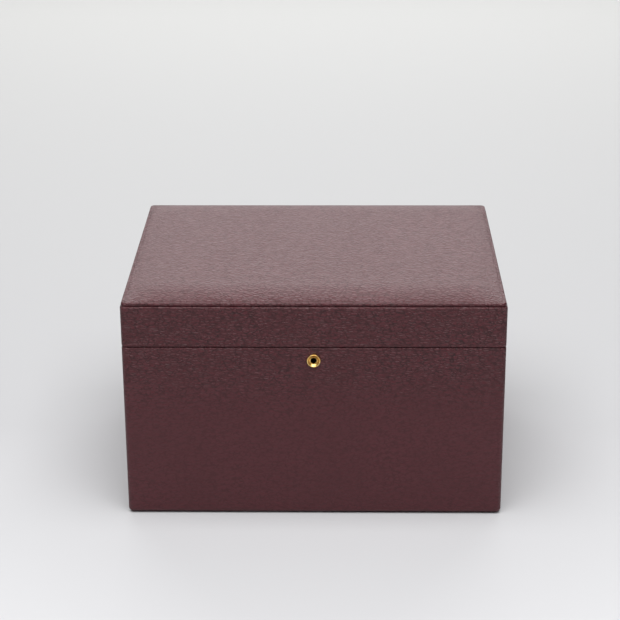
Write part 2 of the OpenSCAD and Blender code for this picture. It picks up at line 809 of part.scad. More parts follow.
// Tray walls: the long ones run the full width, the short ones stand between them
module tray_long_wall(side) {
    color([0.36, 0.22, 0.24])
        box([-tray_x, side > 0 ? tray_in_y : -tray_y, tray_z],
            [tray_x, side > 0 ? tray_y : -tray_in_y, tray_top_z]);
}

module tray_short_wall(side) {
    color([0.36, 0.22, 0.24])
        box([side > 0 ? tray_in_x : -tray_x, -tray_in_y, tray_z],
            [side > 0 ? tray_x : -tray_in_x, tray_in_y, tray_top_z]);
}

module tray_front_wall() { tray_long_wall(-1); }
module tray_back_wall() { tray_long_wall(1); }
module tray_left_wall() { tray_short_wall(-1); }
module tray_right_wall() { tray_short_wall(1); }

module tray_floor() {
    color([0.5, 0.4, 0.36]) box([-tray_in_x, -tray_in_y, tray_z], [tray_in_x, tray_in_y, tray_floor_z]);
}

module tray_main_divider() {
    color([0.55, 0.45, 0.4])
        box([main_divider_x, -tray_in_y, tray_floor_z], [cells_x, tray_in_y, divider_top_z]);
}

module tray_column_divider() {
    color([0.55, 0.45, 0.4])
        box([cells_x + cell_w, -tray_in_y, tray_floor_z],
            [cells_x + cell_w + divider_t, tray_in_y, divider_top_z]);
}

// Short dividers between the rows of cells, in both columns
module tray_row_dividers() {
    color([0.55, 0.45, 0.4]) for (column = [0:1], row = [1:cell_rows - 1]) {
        x = cells_x + column * (cell_w + divider_t);
        y = -tray_in_y + row * (cell_d + divider_t) - divider_t;
        box([x, y, tray_floor_z], [x + cell_w, y + divider_t, divider_top_z]);
    }
}

module ring_section_divider() {
    color([0.55, 0.45, 0.4])
        box([-tray_in_x, ring_divider_y, tray_floor_z],
            [main_divider_x, ring_divider_y + divider_t, divider_top_z]);
}

// Suede pads on the floors of the compartments
module tray_pads() {
    color([0.58, 0.48, 0.43]) {
        box([-tray_in_x, ring_divider_y + divider_t, tray_floor_z],
            [main_divider_x, tray_in_y, tray_floor_z + pad_t]);
        for (column = [0:1], row = [0:cell_rows - 1]) {
            x = cells_x + column * (cell_w + divider_t);
            y = -tray_in_y + row * (cell_d + divider_t);
            box([x, y, tray_floor_z], [x + cell_w, y + cell_d, tray_floor_z + pad_t]);
        }
    }
}

// Round-topped foam rolls that grip rings between them
module ring_rolls() {
    roll_w = ring_pitch - roll_gap;
    roll_z = tray_top_z - ring_drop - roll_w / 2;
    color([0.58, 0.48, 0.43]) for (i = [0:ring_rolls_n - 1])
        translate([-tray_in_x + roll_end_gap, -tray_in_y + (i + 0.5) * ring_pitch, 0]) rotate([90, 0, 90])
            linear_extrude(ring_w - 2 * roll_end_gap) {
                translate([0, roll_z]) circle(roll_w / 2);
                translate([-roll_w / 2, tray_floor_z]) square([roll_w, roll_z - tray_floor_z]);
            }
}

// Leather tabs on the inside of the short walls, to lift the tray by
module tray_pull_tabs() {
    color([0.36, 0.22, 0.24]) both_sides([1, 0, 0])
        box([tray_in_x - tab_t, -tab_w / 2, tray_floor_z + pad_t + tab_foot_gap],
            [tray_in_x, tab_w / 2, tray_top_z + tab_rise]);
}

base_front_board();
base_back_board();
base_left_board();
base_right_board();
base_bottom_board();
base_leather();
base_filler_card();
base_underside_cover();
base_long_linings();
base_short_linings();
well_floor_pad();
well_long_divider();
well_short_divider();
tray_runners();
left_hinge_base_leaf();
right_hinge_base_leaf();
hinge_pins();
hinge_base_screws();
lock_case();
lock_cover();
lock_faceplate();
lock_nozzle();
lock_screws();
lock_plug();
lock_bolt();
lid_front_board();
lid_back_board();
lid_left_board();
lid_right_board();
lid_top_board();
lid_leather();
lid_filler_card();
lid_panel_board();
lid_foam_pad();
lid_panel_leather();
lid_long_linings();
lid_short_linings();
mirror_backing();
mirror_glass();
mirror_frame();
left_hinge_lid_leaf();
right_hinge_lid_leaf();
hinge_lid_screws();
strike_plate();
strike_screws();
tray_front_wall();
tray_back_wall();
tray_left_wall();
tray_right_wall();
tray_floor();
tray_main_divider();
tray_column_divider();
tray_row_dividers();
ring_section_divider();
tray_pads();
ring_rolls();
tray_pull_tabs();
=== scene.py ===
# Looks of the leather jewellery case: leathers, suede, padding, brass, mirror, and the studio round it.
# Metres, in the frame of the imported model: the origin is on the table, +Z is up, the front faces -Y.
import math

import bmesh
import bpy
from mathutils import Matrix, Vector


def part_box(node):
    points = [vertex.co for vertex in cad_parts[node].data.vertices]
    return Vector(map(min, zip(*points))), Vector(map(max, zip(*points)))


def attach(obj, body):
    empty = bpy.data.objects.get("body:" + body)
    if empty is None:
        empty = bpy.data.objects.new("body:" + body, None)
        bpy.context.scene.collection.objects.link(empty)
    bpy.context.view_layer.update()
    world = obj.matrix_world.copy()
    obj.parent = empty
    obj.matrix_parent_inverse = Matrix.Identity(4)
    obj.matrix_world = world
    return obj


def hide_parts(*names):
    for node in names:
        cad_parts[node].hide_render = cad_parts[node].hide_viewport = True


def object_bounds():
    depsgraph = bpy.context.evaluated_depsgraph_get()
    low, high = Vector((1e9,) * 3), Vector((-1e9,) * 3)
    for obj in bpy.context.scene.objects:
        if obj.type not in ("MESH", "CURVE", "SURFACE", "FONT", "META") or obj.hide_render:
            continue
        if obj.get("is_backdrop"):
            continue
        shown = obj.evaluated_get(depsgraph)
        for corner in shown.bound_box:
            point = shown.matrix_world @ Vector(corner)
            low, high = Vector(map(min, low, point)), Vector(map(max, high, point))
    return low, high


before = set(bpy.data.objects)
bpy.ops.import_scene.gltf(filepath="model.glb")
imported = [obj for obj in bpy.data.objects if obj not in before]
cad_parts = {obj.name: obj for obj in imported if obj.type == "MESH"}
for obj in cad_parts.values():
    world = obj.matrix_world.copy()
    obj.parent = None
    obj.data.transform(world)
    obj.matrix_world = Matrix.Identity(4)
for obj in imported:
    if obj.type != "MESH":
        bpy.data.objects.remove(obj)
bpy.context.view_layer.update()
MM = 0.001


# ---- Camera -----------------------------------------------------------------------------------
# A long lens, 1.34 m in front of the middle of the case, 0.65 m up and 2 cm to the right. It
# looks down by 21 degrees.
camera_lens = bpy.data.cameras.new("camera")
camera_lens.lens = 106.08
camera_lens.sensor_width = 36
camera = bpy.data.objects.new("camera", camera_lens)
camera.location = (0.0205, -1.3372, 0.6463)
camera.rotation_euler = [math.radians(angle) for angle in (68.506, 0.293, 0.959)]
bpy.context.scene.collection.objects.link(camera)
bpy.context.scene.camera = camera


# ---- Leather of the base ----------------------------------------------------------------------
# Drum-dyed calf leather, glued over the four boards, turned over the rim and under the bottom.
# At the four lower corners the surplus is gathered in small pleats.
def linear(colour):
    """An sRGB hex colour as the linear colour that a node takes."""
    levels = [int(colour[i : i + 2], 16) / 255 for i in (1, 3, 5)]
    return [c / 12.92 if c <= 0.04045 else ((c + 0.055) / 1.055) ** 2.4 for c in levels] + [1]


def add(tree, kind, inputs=None, stops=(), **settings):
    """Adds a node with its settings; an input is a value, or the output that it is linked to.
    The stops of a colour ramp are (position, hex colour) pairs."""
    node = tree.nodes.new("ShaderNode" + kind)
    for name, value in settings.items():
        setattr(node, name, value)
    for position, colour in stops[2:]:
        node.color_ramp.elements.new(position)
    for element, (position, colour) in zip(node.color_ramp.elements if stops else (), stops):
        element.position = position
        element.color = linear(colour)
    for name, value in (inputs or {}).items():
        if isinstance(value, bpy.types.NodeSocket):
            tree.links.new(value, node.inputs[name])
        else:
            node.inputs[name].default_value = value
    return node


def blank_material(name):
    """A material without a surface yet, its node tree, and the output with object coordinates."""
    material = bpy.data.materials.new(name)
    material.use_nodes = True
    material.node_tree.nodes.clear()
    place = add(material.node_tree, "TexCoord").outputs["Object"]
    return material, material.node_tree, place


def coat(material, looks):
    """Gives a material its surface, with these looks."""
    surface = add(material.node_tree, "BsdfPrincipled", looks)
    add(material.node_tree, "OutputMaterial", {"Surface": surface.outputs[0]})
    return material


def noise(tree, place, size, detail, roughness=0.5):
    """The outputs of a cloudy noise with lumps of a size."""
    look = {"Vector": place, "Scale": 1 / size, "Detail": detail, "Roughness": roughness}
    return add(tree, "TexNoise", look).outputs


def ramp(tree, share, *stops):
    """The colour between stops, at a share from 0 to 1."""
    return add(tree, "ValToRGB", {"Fac": share}, stops).outputs["Color"]


def spread(tree, value, low, high, start=0.0, end=1.0, kind="LINEAR"):
    """Maps the values from low to high onto those from start to end, and holds them outside."""
    ends = {"Value": value, "From Min": low, "From Max": high, "To Min": start, "To Max": end}
    return add(tree, "MapRange", ends, interpolation_type=kind).outputs["Result"]


def product(tree, first, *others):
    """Multiplies outputs."""
    for other in others:
        first = add(tree, "Math", {0: first, 1: other}, operation="MULTIPLY").outputs[0]
    return first


def weighted_sum(tree, *terms):
    """Adds up (output, weight) pairs."""
    total = 0.0
    for output, weight in terms:
        parts = {0: output, 1: weight, 2: total}
        total = add(tree, "Math", parts, operation="MULTIPLY_ADD").outputs[0]
    return total


def relief(tree, height, strength, distance):
    """The normal of a surface raised by a height."""
    look = {"Height": height, "Strength": strength, "Distance": distance}
    return add(tree, "Bump", look).outputs["Normal"]


def milled_calf_leather(name, shade, crease, light):
    """Calf leather drummed until its grain swells: flat pebbles, 2 mm high and 4 mm wide, between
    fine wrinkles, a satin finish that mirrors bright surroundings only at a flat angle. The wrinkles
    are darker in colour: painted shade in the creases. The grain runs out between 125 and 70 mm
    above the table and is drawn flatter over the lid's foam."""
    material, tree, place = blank_material(name)
    drift = noise(tree, place, 6 * MM, 2.0)["Color"]
    pull = add(tree, "VectorMath", {0: drift, 1: (0.5, 0.5, 0.5)}, operation="SUBTRACT")
    pull = add(tree, "VectorMath", {0: pull.outputs[0], "Scale": 3.0 * MM}, operation="SCALE")
    grain = add(tree, "VectorMath", {0: place, 1: pull.outputs[0]}, operation="ADD").outputs[0]
    grain = add(tree, "Mapping", {"Vector": grain, "Scale": (0.5, 0.75, 1.0)}).outputs[0]
    pebbles = {"Vector": grain, "Scale": 1 / (2.0 * MM), "Randomness": 1.0}
    edges = add(tree, "TexVoronoi", pebbles, feature="DISTANCE_TO_EDGE").outputs["Distance"]
    middles = add(tree, "TexVoronoi", pebbles, feature="F1").outputs["Distance"]
    folds = noise(tree, grain, 2.6 * MM, 2.0, 0.6)["Fac"]
    dust = noise(tree, grain, 0.6 * MM, 3.0)["Fac"]
    patch = noise(tree, place, 38 * MM, 3.0)["Fac"]
    height_up = add(tree, "SeparateXYZ", {"Vector": place}).outputs["Z"]
    fade = spread(tree, height_up, 0.07, 0.125, 0.45, 1.0, "SMOOTHSTEP")
    drawn = spread(tree, height_up, 0.168, 0.1705, 1.0, 0.6)
    fade = product(tree, fade, drawn)
    valley = spread(tree, edges, 0.0, 0.26, 1.0, 0.0, "SMOOTHSTEP")
    bed = spread(tree, folds, 0.38, 0.6)
    wrinkle = product(tree, valley, bed, fade)
    top = add(tree, "Math", {0: 1.0, 1: wrinkle}, operation="SUBTRACT").outputs[0]
    # Darkest in the wrinkles and darker at the pebbles' rims: painted shade in the creases.
    tone = ramp(tree, top, (0.0, crease), (0.75, shade), (1.0, light))
    cloudy = add(tree, "Mix", {0: patch, 6: tone, 7: linear(shade)}, data_type="RGBA").outputs[2]
    height = weighted_sum(tree, (valley, -0.7), (folds, 1.5), (middles, -0.5), (dust, 0.2))
    looks = {
        "Base Color": cloudy,
        "Roughness": spread(tree, top, 0.0, 1.0, 0.6, 0.43),
        "Normal": relief(tree, height, fade, 0.42 * MM),
        "IOR": 1.45,
    }
    return coat(material, looks)


# Its third colour, the darkest, is painted shade for the wrinkles.
burgundy_leather = milled_calf_leather("milled_calf_burgundy", "#491a20", "#150608", "#56222a")

SHARP_ANGLE = math.radians(50)
CORNER_SEGMENTS = 12
CLOSE = 1e-6


def smooth_object(name, shape, material):
    """Puts a bmesh into the scene as a smooth-shaded object."""
    mesh = bpy.data.meshes.new(name)
    shape.to_mesh(mesh)
    shape.free()
    mesh.materials.append(material)
    for face in mesh.polygons:
        face.use_smooth = True
    made = bpy.data.objects.new(name, mesh)
    bpy.context.scene.collection.objects.link(made)
    return made


def piece_of(name, shape, material, body, slot, *nodes):
    """Makes a bmesh a piece that rides on a body and stands for CAD nodes."""
    made = smooth_object(name, shape, material)
    made.data.set_sharp_from_angle(angle=SHARP_ANGLE)
    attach(made, body)
    if nodes:
        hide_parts(*nodes)
    return made


def keep_flats_flat(piece):
    """Lets the large faces set the shading of the small rounded edges beside them."""
    weighted = piece.modifiers.new("flat_faces", "WEIGHTED_NORMAL")
    weighted.keep_sharp = True
    return piece


def box_between(shape, low, high):
    """Adds a box to a bmesh and returns its vertices."""
    low, high = Vector(low), Vector(high)
    place = Matrix.Translation((low + high) / 2) @ Matrix.Diagonal(list(high - low) + [1])
    return bmesh.ops.create_cube(shape, size=1, matrix=place)["verts"]


def edges_of(verts):
    """The edges that join these vertices, always in the same order."""
    inside = set(verts)
    around = dict.fromkeys(e for v in verts for e in v.link_edges)
    return [e for e in around if set(e.verts) <= inside]


def upright(edges):
    """Those edges that rise from one height to another."""
    return [e for e in edges if abs(e.verts[0].co.z - e.verts[1].co.z) > CLOSE]


def edges_at(shape, z):
    """The level edges of a bmesh at a height."""
    return [e for e in shape.edges if all(abs(v.co.z - z) < CLOSE for v in e.verts)]


def faces_at(shape, z):
    """The level faces of a bmesh at a height."""
    return [f for f in shape.faces if all(abs(v.co.z - z) < CLOSE for v in f.verts)]


def round_over(shape, edges, radius, segments):
    """Rounds edges of a bmesh."""
    bmesh.ops.bevel(
        shape,
        geom=list(edges),
        offset=radius,
        segments=segments,
        profile=0.5,
        affect="EDGES",
        material=-1,
    )


def open_end(shape, z, rim, depth):
    """Opens a box at its level end: leaves a rim of that width, turned inwards by a depth."""
    cap = faces_at(shape, z)
    bmesh.ops.inset_region(shape, faces=cap, thickness=0, use_even_offset=True)
    inner = list(dict.fromkeys(v for f in cap for v in f.verts))
    for axis in (0, 1):
        reach = max(v.co[axis] for v in inner) - rim
        for v in inner:
            v.co[axis] = max(-reach, min(reach, v.co[axis]))
    bmesh.ops.remove_doubles(shape, verts=inner, dist=1e-7)
    cap = [f for f in cap if f.is_valid]
    if depth:
        bmesh.ops.inset_region(shape, faces=cap, thickness=0, depth=-depth, use_even_offset=True)
    bmesh.ops.delete(shape, geom=cap, context="FACES_ONLY")


def outer_loop(shape, z):
    """The level edges between the outer walls and a rim."""
    reach = [max(v.co[axis] for v in shape.verts) - edge_r - 1 * MM for axis in (0, 1)]
    return [
        e
        for e in edges_at(shape, z)
        if any(abs(f.normal.z) < 0.5 for f in e.link_faces)
        and all(abs(v.co.x) > reach[0] or abs(v.co.y) > reach[1] for v in e.verts)
    ]


def face_outwards(shape):
    """Turns the faces of an open sheet so that its outer walls face outwards."""
    bmesh.ops.recalc_face_normals(shape, faces=shape.faces)
    side = max(shape.faces, key=lambda f: f.calc_center_median().x)
    if side.normal.x < 0:
        bmesh.ops.reverse_faces(shape, faces=shape.faces)


def give_thickness(piece, thickness):
    """Turns a sheet that is modelled by its outer side into leather of that thickness."""
    wall = piece.modifiers.new("thickness", "SOLIDIFY")
    wall.thickness = thickness
    wall.offset = -1
    wall.use_even_offset = True
    wall.use_rim = True
    return piece


def apply_all(piece):
    """Puts what the modifiers make into the mesh itself."""
    graph = bpy.context.evaluated_depsgraph_get()
    graph.update()
    flat = bpy.data.meshes.new_from_object(piece.evaluated_get(graph))
    piece.modifiers.clear()
    piece.data = flat
    return piece


def cut_away(piece, cutter_shape):
    """Cuts a bmesh out of a piece."""
    mesh = bpy.data.meshes.new("cutter")
    cutter_shape.to_mesh(mesh)
    cutter_shape.free()
    cutter = bpy.data.objects.new("cutter", mesh)
    bpy.context.scene.collection.objects.link(cutter)
    notch = piece.modifiers.new("notch", "BOOLEAN")
    notch.operation = "DIFFERENCE"
    notch.solver = "EXACT"
    notch.use_self = True
    notch.use_hole_tolerant = True
    notch.object = cutter
    apply_all(piece)
    bpy.data.objects.remove(cutter)


def pleat_corners(shape, corner, ball):
    """Raises three small radial folds round each lower corner, where the leather is gathered."""
    folds = 3
    height = 0.38 * MM
    furthest = 1.6 * ball
    behind = -0.3 * ball
    for v in shape.verts:
        away = Vector((abs(v.co.x), abs(v.co.y), v.co.z)) - corner
        if away.length > furthest or away.x < behind or away.y < behind or away.z > 0:
            continue
        turn = math.atan2(max(away.y, 0), max(away.x, 1e-9)) / (math.pi / 2)
        gather = min(1, -away.z / ball) * max(0, math.sin(math.pi * turn))
        lift = height * gather * math.sin(math.pi * turn * (2 * folds - 1)) ** 2
        outward = Vector((math.copysign(away.x, v.co.x), math.copysign(away.y, v.co.y), away.z))
        v.co -= outward.normalized() * lift


leather_t = 1.2 * MM
turn_in = 14 * MM
rim_past_board = 0.4 * MM
edge_r = 3.8 * MM
foot_r = 2.6 * MM
rim_r = 1.1 * MM
shell_low, shell_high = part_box("base_leather")
inner_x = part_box("base_bottom_board")[1].x - rim_past_board

shape = bmesh.new()
outer_edges = upright(edges_of(box_between(shape, shell_low, shell_high)))
open_end(shape, shell_high.z, shell_high.x - inner_x, turn_in)
round_over(shape, outer_edges, edge_r, CORNER_SEGMENTS)
round_over(shape, edges_at(shape, shell_low.z), foot_r, 8)
open_end(shape, shell_low.z, turn_in - foot_r, 0)
round_over(shape, outer_loop(shape, shell_high.z), rim_r, 5)
face_outwards(shape)
pleat_corners(shape, Vector((shell_high.x - edge_r, shell_high.y - edge_r, shell_low.z + foot_r)), edge_r)
base_cover = piece_of("base_cover", shape, burgundy_leather, "base", "leather", "base_leather")
give_thickness(base_cover, leather_t)

# The cutters for the fittings leave some play round them and reach past the leather's faces.
play = 0.1 * MM
past = 1 * MM
tube_r = 4 * MM
drill_length = 20 * MM
notches = bmesh.new()
for node in ("left_hinge_base_leaf", "right_hinge_base_leaf"):
    low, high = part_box(node)
    seat = low.x - play, low.y - play, shell_high.z - leather_t
    box_between(notches, seat, high + Vector((play, past, past)))
plate_low, plate_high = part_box("lock_faceplate")
box_between(notches, plate_low - Vector((play, play, 0)), plate_high + Vector((play, 2 * past, 2 * past)))
nozzle_low, nozzle_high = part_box("lock_nozzle")
key_z = (nozzle_low.z + nozzle_high.z) / 2
bmesh.ops.create_cone(
    notches,
    cap_ends=True,
    segments=48,
    radius1=tube_r + play,
    radius2=tube_r + play,
    depth=drill_length,
    matrix=Matrix.Translation((0, shell_low.y, key_z)) @ Matrix.Rotation(math.radians(90), 4, "X"),
)
cut_away(base_cover, notches)
keep_flats_flat(base_cover)


# ---- Leather band of the lid ------------------------------------------------------------------
# The same calf leather, glued round the lid's walls: turned in over the rim at the seam, and at
# the top drawn over a rounded edge that shows as a light line under the panel.
shoulder_r = 1.4 * MM
knuckle_room = 5 * MM
band_low, band_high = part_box("lid_leather")
shape = bmesh.new()
outer_edges = upright(edges_of(box_between(shape, band_low, band_high)))
open_end(shape, band_low.z, band_high.x - inner_x, turn_in)
open_end(shape, band_high.z, turn_in, leather_t)
round_over(shape, outer_edges, edge_r, CORNER_SEGMENTS)
round_over(shape, outer_loop(shape, band_low.z), rim_r, 5)
round_over(shape, outer_loop(shape, band_high.z), shoulder_r, 5)
face_outwards(shape)
lid_band = piece_of("lid_band", shape, burgundy_leather, "lid", "leather", "lid_leather")
give_thickness(lid_band, leather_t)
notches = bmesh.new()
for node in ("left_hinge_lid_leaf", "right_hinge_lid_leaf"):
    low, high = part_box(node)
    seat = high.x + play, high.y + past, band_low.z + leather_t
    box_between(notches, (low.x - play, low.y - play, low.z - knuckle_room), seat)
low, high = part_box("strike_plate")
seat = high.x + play, high.y + 2 * past, band_low.z + leather_t
box_between(notches, (low.x - play, low.y - play, low.z), seat)
cut_away(lid_band, notches)
keep_flats_flat(lid_band)


# ---- Top panel of the lid ---------------------------------------------------------------------
# A board with a bullnose edge, covered in the same leather. A crease is pressed 1.5 mm in from
# the edge, and inside it the leather is drawn over a sheet of foam: flat, with falling borders.
panel_leather_t = 0.9 * MM
pad_leather_t = panel_leather_t * 0.8
panel_drop = 0.7 * MM
panel_corner_r = 3.3 * MM
over_r = 1.2 * MM
under_r = 1.2 * MM
crease_out = 1.25 * MM
crease_in = 1.85 * MM
crease_depth = 0.15 * MM
tuck = 0.1 * MM
tuck_run = 0.6 * MM
step_run = 1.6 * MM
step_share = 0.06
crown_run = 28 * MM
panel_low, panel_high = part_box("lid_panel_leather")
foam_low, foam_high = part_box("lid_foam_pad")
rim_z = foam_low.z + panel_leather_t - panel_drop


def rise_at(distance):
    """Share of the crown's height at a distance from the crease: a small step, then a parabola."""
    step = math.sin(min(1, max(0, distance) / step_run) * math.pi / 2)
    parabola = 1 - (1 - min(1, max(0, distance) / crown_run)) ** 2
    return step_share * step + (1 - step_share) * parabola


def crowned_sheet(half_x, half_y, edge_z, top_z, cell):
    """A sheet over foam: level in the middle and falling to its edges, softer at the corners.
    Its cells are finest at the edges, where it bends."""
    sheet = bmesh.new()
    across, along = round(2 * half_x / cell), round(2 * half_y / cell)
    bmesh.ops.create_grid(sheet, x_segments=across, y_segments=along, size=1)
    for v in sheet.verts:
        v.co.x = half_x * math.sin(v.co.x * math.pi / 2)
        v.co.y = half_y * math.sin(v.co.y * math.pi / 2)
        dx, dy = half_x - abs(v.co.x), half_y - abs(v.co.y)
        v.co.z = edge_z + (top_z - edge_z) * rise_at(dx) * rise_at(dy)
    return sheet


shape = bmesh.new()
slab = box_between(shape, panel_low, (panel_high.x, panel_high.y, rim_z))
round_over(shape, upright(edges_of(slab)), panel_corner_r, CORNER_SEGMENTS)
round_over(shape, edges_at(shape, panel_low.z), under_r, 6)
round_over(shape, edges_at(shape, rim_z), over_r, 6)
cap = faces_at(shape, rim_z)
half_crease = (crease_in - crease_out) / 2
for width, depth in [
    (crease_out - over_r, 0),
    (half_crease, -crease_depth),
    (half_crease, crease_depth - tuck),
    (tuck_run, -tuck),
]:
    bmesh.ops.inset_region(shape, faces=cap, thickness=width, depth=depth, use_even_offset=True)
bmesh.ops.delete(shape, geom=cap + faces_at(shape, panel_low.z), context="FACES_ONLY")
face_outwards(shape)
panel_edge = piece_of("panel_edge", shape, burgundy_leather, "lid", "leather", "lid_panel_leather")
give_thickness(panel_edge, panel_leather_t)
keep_flats_flat(panel_edge)

shape = crowned_sheet(
    panel_high.x - crease_in, panel_high.y - crease_in, rim_z - tuck, panel_high.z, 2.5 * MM
)
panel_pad = piece_of("panel_pad", shape, burgundy_leather, "lid", "leather", "lid_panel_leather")
apply_all(give_thickness(panel_pad, pad_leather_t))
panel_pad.data.set_sharp_from_angle(angle=SHARP_ANGLE)


# ---- Boards and cards -------------------------------------------------------------------------
# The carcass is medium-density fibreboard, the fillers and the mirror's back are grey card.
# None of them shows when the case is whole; they get the dull, fine-fibred face of such board.
def pressed_board(name, colour, fleck, fibre):
    """Pressed wood fibre: an even dull face with short flecks."""
    material, tree, place = blank_material(name)
    cloud = noise(tree, place, fibre, 6.0, 0.7)["Fac"]
    looks = {
        "Base Color": ramp(tree, cloud, (0.35, fleck), (0.62, colour)),
        "Roughness": 0.85,
        "Normal": relief(tree, cloud, 0.3, 0.1 * MM),
        "IOR": 1.5,
    }
    return coat(material, looks)


def finish_nodes(material, *names):
    """Gives CAD nodes that stay as they are a finish."""
    for name in names:
        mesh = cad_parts[name].data
        mesh.materials.clear()
        mesh.materials.append(material)


fibreboard = pressed_board("fibreboard", "#b08c62", "#8d6b47", 1.2 * MM)
grey_card = pressed_board("grey_card", "#a39a8b", "#857c6d", 0.8 * MM)
for part in ("base", "lid"):
    finish_nodes(fibreboard, *[f"{part}_{side}_board" for side in ("front", "back", "left", "right")])
finish_nodes(fibreboard, "base_bottom_board", "lid_top_board", "lid_panel_board")
finish_nodes(grey_card, "base_filler_card", "lid_filler_card", "mirror_backing")


# ---- Foam under the panel ---------------------------------------------------------------------
# A sheet of upholstery foam between the panel's board and its leather, open-celled and matt. It
# ends just short of its room on every side but the lower one.
upholstery_foam, tree, place = blank_material("upholstery_foam")
pores = add(tree, "TexVoronoi", {"Vector": place, "Scale": 1 / (0.9 * MM)}).outputs["Distance"]
# Darker at the middle of each cell: painted shade in the open pores.
looks = {
    "Base Color": ramp(tree, pores, (0.1, "#b9ab86"), (0.5, "#e6dcc0")),
    "Roughness": 0.95,
    "Normal": relief(tree, pores, 0.5, 0.2 * MM),
}
coat(upholstery_foam, looks)
side_room, top_room, hem = 0.5 * MM, 0.1 * MM, 0.01 * MM
shape = crowned_sheet(
    foam_high.x - side_room, foam_high.y - side_room, foam_low.z, foam_high.z - top_room, 8 * MM
)
skirt = bmesh.ops.extrude_face_region(shape, geom=shape.faces[:])
for v in [g for g in skirt["geom"] if isinstance(g, bmesh.types.BMVert)]:
    v.co.z = foam_low.z - hem
bmesh.ops.recalc_face_normals(shape, faces=shape.faces)
foam_sheet = piece_of("foam_sheet", shape, upholstery_foam, "lid", "foam", "lid_foam_pad")


# ---- Cloth under the base ---------------------------------------------------------------------
# Black-brown book cloth, glued over the turned-in leather; the case slides on it. Its corners
# are rounded and its cut edges are soft.
def book_cloth(name, warp, weft):
    """Plain-woven cloth. Its threads are 0.35 mm apart, drawn at 0.8 mm so that they show."""
    material, tree, place = blank_material(name)
    ribs = {"Vector": place, "Scale": 0.5 / (0.8 * MM), "Distortion": 0.4}
    warps = add(tree, "TexWave", ribs, bands_direction="X").outputs["Fac"]
    wefts = add(tree, "TexWave", ribs, bands_direction="Y").outputs["Fac"]
    weave = product(tree, warps, wefts)
    looks = {
        "Base Color": ramp(tree, weave, (0.0, weft), (0.7, warp)),
        "Roughness": 0.9,
        "Sheen Weight": 0.2,
        "Normal": relief(tree, weave, 0.5, 0.15 * MM),
    }
    return coat(material, looks)


cloth_corner_r = 3.5 * MM
cloth_edge_r = 0.3 * MM
under_low, under_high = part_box("base_underside_cover")
shape = bmesh.new()
round_over(shape, upright(edges_of(box_between(shape, under_low, under_high))), cloth_corner_r, 6)
round_over(shape, edges_at(shape, under_low.z) + edges_at(shape, under_high.z), cloth_edge_r, 2)
underside_cloth = book_cloth("book_cloth_brown", "#3b2a2a", "#231718")
piece_of("underside_cloth", shape, underside_cloth, "base", "cloth", "base_underside_cover")


# ---- Suede linings, dividers and runners ------------------------------------------------------
# Cards wrapped in split suede: a short, soft nap that brightens where it is seen edge-on and
# lies darker in brushed patches. The wrapped edges are rounded.
def split_suede(name, nap, shadow):
    """Suede: short velvety nap, no gloss, cloudy where fingers have brushed it."""
    material, tree, place = blank_material(name)
    brushed = noise(tree, place, 14 * MM, 4.0)["Fac"]
    fibres = noise(tree, place, 0.5 * MM, 4.0, 0.75)["Fac"]
    cloud = weighted_sum(tree, (brushed, 0.7), (fibres, 0.3))
    looks = {
        "Base Color": ramp(tree, cloud, (0.3, shadow), (0.7, nap)),
        "Roughness": 0.95,
        "Specular IOR Level": 0.2,
        "Sheen Weight": 0.45,
        "Sheen Roughness": 0.4,
        "Sheen Tint": linear(nap),
        "Normal": relief(tree, fibres, 0.6, 0.12 * MM),
    }
    return coat(material, looks)


def solids_of(node):
    """Lowest and highest corner of each separate solid of a CAD node."""
    copy = bmesh.new()
    copy.from_mesh(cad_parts[node].data)
    bmesh.ops.remove_doubles(copy, verts=copy.verts, dist=1e-6)
    left = set(copy.verts)
    corners = []
    while left:
        reached = [left.pop()]
        for v in reached:
            near = {e.other_vert(v) for e in v.link_edges} & left
            left -= near
            reached.extend(near)
        low = Vector([min(v.co[axis] for v in reached) for axis in range(3)])
        high = Vector([max(v.co[axis] for v in reached) for axis in range(3)])
        corners.append((low, high))
    copy.free()
    return sorted(corners, key=lambda pair: tuple(pair[0]))


def wrapped_cards(name, node, radius, material, body, slot):
    """Every solid of a node as a card or bar with rounded edges, in one piece."""
    shape = bmesh.new()
    for low, high in solids_of(node):
        round_over(shape, edges_of(box_between(shape, low, high)), radius, 4)
    keep_flats_flat(piece_of(name, shape, material, body, slot, node))


taupe_suede = split_suede("split_suede_taupe", "#a28d7f", "#8a7567")
for part in ("base", "lid"):
    for node in (f"{part}_long_linings", f"{part}_short_linings"):
        name = node.replace("_linings", "_lining_cards")
        wrapped_cards(name, node, 0.6 * MM, taupe_suede, part, "suede")
for node in ("well_long_divider", "well_short_divider"):
    wrapped_cards(node + "_wrapped", node, 1.6 * MM, taupe_suede, "base", "suede")
wrapped_cards("tray_runner_bars", "tray_runners", 1.2 * MM, taupe_suede, "base", "suede")


# ---- Tray -------------------------------------------------------------------------------------
# The tray's walls are boards wrapped in the burgundy leather. Its dividers and its floor are
# cards covered in suede.
for side in ("front", "back", "left", "right"):
    node = f"tray_{side}_wall"
    wrapped_cards(node + "_leather", node, 1.4 * MM, burgundy_leather, "tray", "leather")
for node in ("tray_main_divider", "tray_column_divider", "tray_row_dividers", "ring_section_divider"):
    wrapped_cards(node + "_suede", node, 1.2 * MM, taupe_suede, "tray", "suede")
wrapped_cards("tray_floor_card", "tray_floor", 0.5 * MM, taupe_suede, "tray", "suede")


